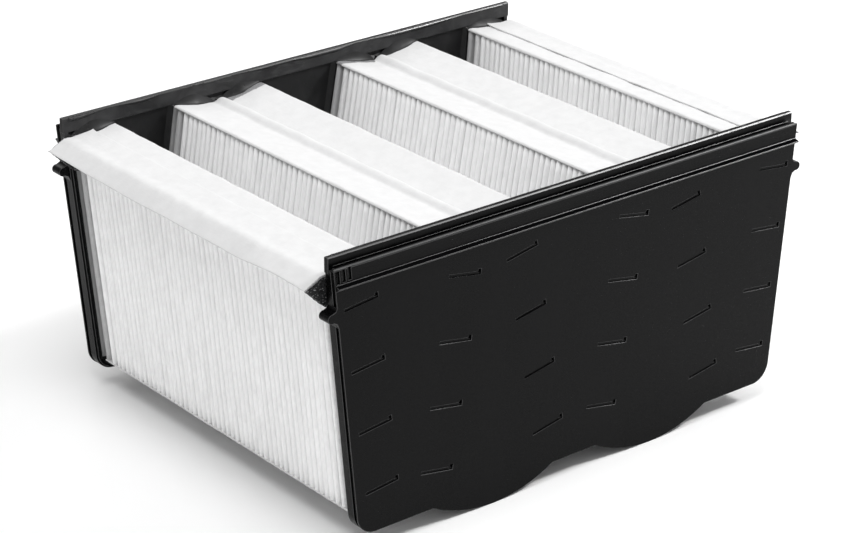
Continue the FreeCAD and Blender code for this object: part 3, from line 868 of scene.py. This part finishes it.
def make_pad(end, hand, material):
    """Foam wedge: the section's polygon with rounded corners, carried from face to face, drawn in towards both
    faces on a quarter circle, and roughened by cut cells."""
    node = f"{end}_{hand}_corner_pad"
    place = PACKS[f"{hand}_outer"]
    low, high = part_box(node)
    top = place.corner(1, 1)
    foot = top - place.up * PAD_HEIGHT * MM
    toe = past_edge(*foot, place, PAD_TOE)
    edge_point = top + place.up * 1 * MM
    bend = past_edge(*edge_point, place, SKIRT_BEND)
    tip = past_edge(edge_point[0], bend[1], place, PAD_TIP)
    corners = np.array([foot, toe, tip, bend, edge_point, top, foot])
    places = np.linspace(0, distances(corners)[-1], 121)[:-1]
    ring = along(corners, places)
    ring = smoothed(np.concatenate([ring[-2:], ring, ring[:2]]), 2)
    middle = ring.mean(0)
    depth = (1 - np.cos(np.linspace(0, np.pi, 19))) / 2
    from_face = np.minimum(depth, 1 - depth) * (high.y - low.y)
    draw = 1 - 0.09 * (1 - quarter_circle(from_face, 0.7 * MM))
    inner = np.array([0.0, 0.3, 0.6, 0.85])
    draw = np.concatenate([draw[0] * inner, draw, draw[-1] * inner[::-1]])
    depth = np.concatenate([depth[:1].repeat(len(inner)), depth, depth[-1:].repeat(len(inner))])
    rng = seeded(node)
    rough = waves(rng, places[None, :], depth[:, None] * 5 * MM, 2.6 * MM, 14) * 0.12 * MM
    rough += rng.normal(0, 0.06 * MM, rough.shape)
    shape = middle + (ring - middle)[None] * draw[:, None, None]
    outward = (ring - middle) / np.linalg.norm(ring - middle, axis=1, keepdims=True)
    shape = shape + outward[None] * (rough * (draw > 0.05)[:, None])[..., None]
    y = low.y + (high.y - low.y) * depth[:, None] + np.zeros(len(ring))
    y = y + rng.normal(0, 0.08 * MM, y.shape) * (draw < 0.95)[:, None] * (draw > 0.05)[:, None]
    shell = tube_shell(stacked(shape[..., 0], y, shape[..., 1])[1:-1])
    pad = piece(node + "_foam", *shell, material, "black_foam", merge=True)
    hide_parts(node)


def strip_top(place):
    """Both upper corners of the fleece over a pack, the left one first."""
    pair = [place.corner(1, face) + place.up * sizes().fleece for face in (-1, 1)]
    return sorted(pair, key=lambda p: p[0])


def meniscus(place, wall, inward, climb, reach, rng):
    """Lens of resin over a pack's end. Across the pack its size follows a half circle; its section falls from the
    rim wall to the fleece on a parabola, and its foot and back are buried."""
    left, right = strip_top(place)
    width, spread = np.linalg.norm(right - left), 1 * MM
    t = (1 - np.cos(np.linspace(0.03, np.pi - 0.03, 61))) / 2
    size = np.sin(np.pi * t) ** 0.8
    size = size * (1 + 0.05 * waves(rng, t, 0 * t, 0.7))
    way = (right - left) / width
    base = left - way * spread + (t * (width + 2 * spread))[:, None] * way
    s = np.linspace(0, 1, 15)
    out = np.concatenate([reach * s, [reach * 0.6, 0.0]])
    rise = np.concatenate([climb * (1 - s) ** 1.7, [-0.6 * MM, -0.8 * MM]])
    loops = stacked(base[:, :1], wall + inward * out[None, :] * size[:, None],
                    base[:, 1:] + rise[None, :] * size[:, None])
    lump = waves(rng, t[:, None] * 30, s[None, :] * 3, 9) * 0.12 * MM
    loops[:, :len(s), 2] += lump * size[:, None] * (1 - s)[None, :]
    return tube_shell(loops)


def make_run(end, material):
    """Run of resin that set under the rim's inner top edge: a wedge carried along X, whose size follows slow sine
    waves down to nothing and whose upper face leans half way between the top and the wall."""
    low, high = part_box(f"{end}_end_plate")
    x = np.linspace(-1, 1, 281) * (min(abs(low.x), high.x) - 8 * MM)
    size = np.clip(0.62 + 0.42 * waves(seeded(end + "run"), x, 0 * x, 62 * MM), 0.05, 1.15)[:, None]
    out = np.array([-0.4, 0.02, 0.22, 0.44, 0.66, 0.74, 0.68, -0.4]) * MM
    drop = np.array([0.0, 0.02, 0.26, 0.52, 0.79, 1.05, 1.4, 2.4]) * MM
    loops = stacked(x[:, None], ENDS[end] * (RIM_INNER - out * size), RIM_TOP - 0.15 * MM - drop * size)
    piece(f"{end}_resin_run", *tube_shell(loops), material, "black_resin", merge=True)


def make_menisci(end, material):
    """Lenses of resin at the ends of all six packs, along the inner side of one plate's rim."""
    wall = ENDS[end] * (STRIP_END + 0.8 * MM) + ENDS[end] * 0.4 * MM
    rng = seeded(end + "menisci")
    shells = []
    for place in PACKS.values():
        reach = rng.uniform(3.2, 4.6) * MM
        top = max(corner[1] for corner in strip_top(place))
        climb = sizes().meniscus * rng.uniform(0.85, 1.1)
        if end == "near":
            climb = RIM_TOP - top + rng.uniform(0.6, 1.2) * MM
        shells.append(meniscus(place, wall, -ENDS[end], climb, reach, rng))
    piece(f"{end}_resin_menisci", *several(shells), material, "black_resin", merge=True)


# ------------ operators

class FILTER_OT_stage(bpy.types.Operator):
    """Make the floor, the soft light and the camera"""

    bl_idname = "filter.stage"
    bl_label = "Stage"

    def execute(self, context):
        looks = context.scene.filter_stage
        context.scene.view_settings.view_transform = "Standard"
        self.make_floor()
        self.make_world(looks.sky)
        for name, (location, size) in SOFT_BOXES.items():
            self.make_light(f"{name}_soft_box", location, size, getattr(looks, name))
        self.make_camera()
        return {"FINISHED"}

    def make_floor(self):
        mesh = bpy.data.meshes.new("studio_floor")
        corners = [(x * FLOOR_REACH, y * FLOOR_REACH, 0) for x, y in ((-1, -1), (1, -1), (1, 1), (-1, 1))]
        mesh.from_pydata(corners, [], [(0, 1, 2, 3)])
        floor = new_object("studio_floor", mesh)
        mesh.materials.append(pale_floor())

    def make_world(self, strength):
        world = bpy.context.scene.world or bpy.data.worlds.new("soft_studio")
        bpy.context.scene.world = world
        world.use_nodes = True
        background = world.node_tree.nodes["Background"]
        background.inputs["Color"].default_value = (1, 1, 1, 1)
        background.inputs["Strength"].default_value = strength

    def make_light(self, name, location, size, power):
        light = bpy.data.lights.new(name, "AREA")
        light.shape = "RECTANGLE"
        light.size, light.size_y = size
        light.energy = power
        lamp = new_object(name, light)
        lamp.location = location
        lamp.rotation_euler = (LIGHT_AIM - Vector(location)).to_track_quat("-Z", "Y").to_euler()

    def make_camera(self):
        data = bpy.data.cameras.new("photo_camera")
        data.sensor_fit = "HORIZONTAL"
        data.sensor_width = CAMERA_SENSOR
        data.lens = CAMERA_LENS
        data.clip_start, data.clip_end = 0.05, 60
        camera = new_object("photo_camera", data)
        camera.location = CAMERA_PLACE
        camera.rotation_euler = CAMERA_VIEW.to_track_quat("-Z", "Y").to_euler()
        bpy.context.scene.camera = camera


class FILTER_OT_end_plates(bpy.types.Operator):
    """Dress both moulded end plates"""

    bl_idname = "filter.end_plates"
    bl_label = "End plates"

    def execute(self, context):
        # The film's lighter colour is painted light, the edges' lighter colour is partly painted highlight, and the
        # copy without specular is painted shade.
        materials = [moulded_plastic(), edge_with_painted_highlight(), resin_film_with_painted_light(),
                     edge_with_painted_highlight("satin_plastic_edge", 0.38), moulded_plastic("dull_black_plastic", 0.0)]
        for end in ENDS:
            dress_plate(end, materials)
        return {"FINISHED"}


class FILTER_OT_potting(bpy.types.Operator):
    """Give the cast beds their resin and make the lenses of resin over the packs' ends"""

    bl_idname = "filter.potting"
    bl_label = "Potting resin"

    def execute(self, context):
        material = cast_resin()
        wet = cast_resin("glossy_resin_run", 0.22, 0.55)
        for end in ENDS:
            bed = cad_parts[f"{end}_potting_bed"]
            bed.data.materials.clear()
            bed.data.materials.append(material)
            make_menisci(end, material)
            make_run(end, wet)
        return {"FINISHED"}


class FILTER_OT_pleated_packs(bpy.types.Operator):
    """Fold the six pleated packs"""

    bl_idname = "filter.pleated_packs"
    bl_label = "Pleated packs"

    def execute(self, context):
        material = filter_paper()
        for name, place in PACKS.items():
            make_pack(name, place, material)
        return {"FINISHED"}


class FILTER_OT_fleece(bpy.types.Operator):
    """Lay the fleece strips over the packs' edges and hang the sealing skirts"""

    bl_idname = "filter.fleece"
    bl_label = "Fleece strips and skirts"

    def execute(self, context):
        material = white_fleece()
        for hand in SIDES:
            make_edge_band(hand, material)
            make_ridge_strip(hand, material)
            make_skirt(hand, material)
        make_tip_strip("left_tip_strip", "left_outer", "left_inner", material)
        make_tip_strip("centre_tip_strip", "left_centre", "right_centre", material)
        make_tip_strip("right_tip_strip", "right_inner", "right_outer", material)
        return {"FINISHED"}


class FILTER_OT_corner_pads(bpy.types.Operator):
    """Set the foam pads under the skirts' ends"""

    bl_idname = "filter.corner_pads"
    bl_label = "Corner pads"

    def execute(self, context):
        material = open_foam()
        for end in ENDS:
            for hand in SIDES:
                make_pad(end, hand, material)
        return {"FINISHED"}


class FILTER_PT_panel(bpy.types.Panel):
    """Sizes, colours and the steps that make the filter"""

    bl_idname = "FILTER_PT_panel"
    bl_label = "Air purifier filter"
    bl_space_type = "VIEW_3D"
    bl_region_type = "UI"
    bl_category = "Filter"

    def draw(self, context):
        for name in GROUPS:
            group, box = getattr(context.scene, name), self.layout.box()
            for key in group.bl_rna.properties.keys():
                if key not in ("rna_type", "name"):
                    box.prop(group, key)
        for step in STEPS:
            self.layout.operator(step.bl_idname)


STEPS = (FILTER_OT_end_plates, FILTER_OT_potting, FILTER_OT_pleated_packs, FILTER_OT_fleece,
         FILTER_OT_corner_pads, FILTER_OT_stage)
GROUPS = {"filter_sizes": FilterSizes, "filter_colours": FilterColours, "filter_stage": FilterStage}
CLASSES = (*GROUPS.values(), *STEPS, FILTER_PT_panel)


def register():
    for each in CLASSES:
        bpy.utils.register_class(each)
    for name, group in GROUPS.items():
        setattr(bpy.types.Scene, name, PointerProperty(type=group))


def unregister():
    for name in GROUPS:
        delattr(bpy.types.Scene, name)
    for each in reversed(CLASSES):
        bpy.utils.unregister_class(each)


def main():
    register()
    bpy.ops.filter.end_plates()
    bpy.ops.filter.potting()
    bpy.ops.filter.pleated_packs()
    bpy.ops.filter.fleece()
    bpy.ops.filter.corner_pads()
    bpy.ops.filter.stage()


if __name__ == "__main__":
    main()
